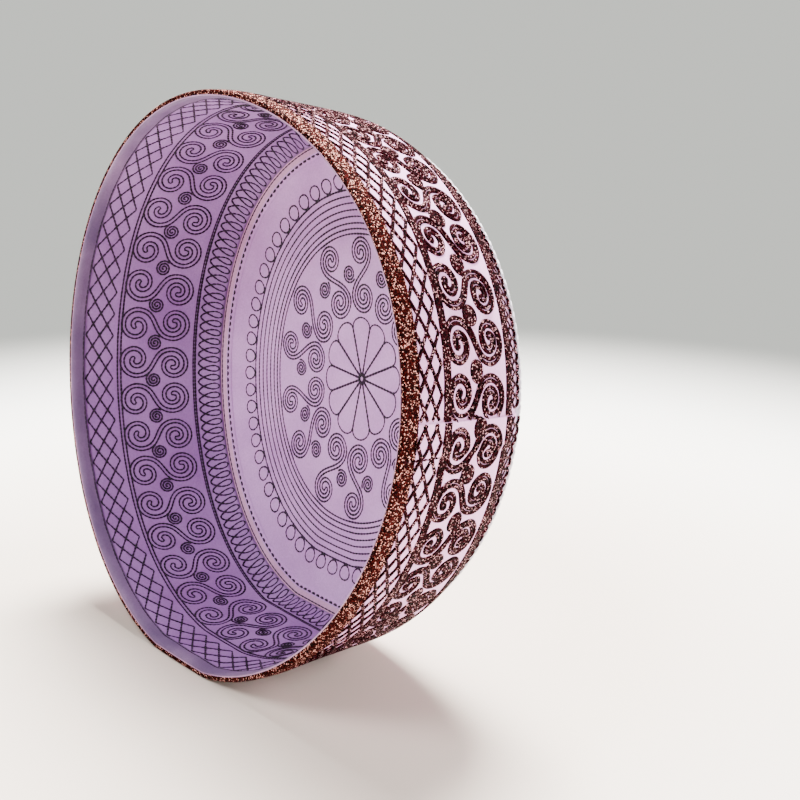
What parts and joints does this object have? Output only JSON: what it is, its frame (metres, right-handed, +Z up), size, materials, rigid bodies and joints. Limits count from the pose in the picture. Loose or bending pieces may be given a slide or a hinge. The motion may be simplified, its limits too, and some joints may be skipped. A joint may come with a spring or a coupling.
{
  "type": "kufi",
  "caption": "Round brimless embroidered cloth cap lying on its side: tapered sewn band, slightly domed crown panel, piped corner, thread-bound rim and open head hollow.",
  "frame": {"origin": "on the floor, under the middle of the cap's bounding box, with the cap lying on its side", "axes": "+Z up, the opening faces -Y and leans slightly upwards, +X to the right of one who looks into it"},
  "size_m": [0.1938, 0.0854, 0.1813],
  "materials": {
    "quilted_cotton": "matt fine-woven quilted cotton, very pale pinkish lavender outside and lavender inside",
    "piping_cotton": "matt white cotton piping",
    "metallic_thread": "dense dark maroon embroidery thread with a fine metallic glitter",
    "hem_cotton": "matt bluish grey-lavender cotton",
    "tape_cotton": "matt pinkish beige cotton tape"
  },
  "bodies": {
    "root": {"band": "quilted_cotton", "crown_panel": "quilted_cotton", "crown_piping": "piping_cotton", "rim_binding": "metallic_thread", "inner_hem": "hem_cotton", "crown_seam_tape": "tape_cotton"}
  },
  "joints": []
}
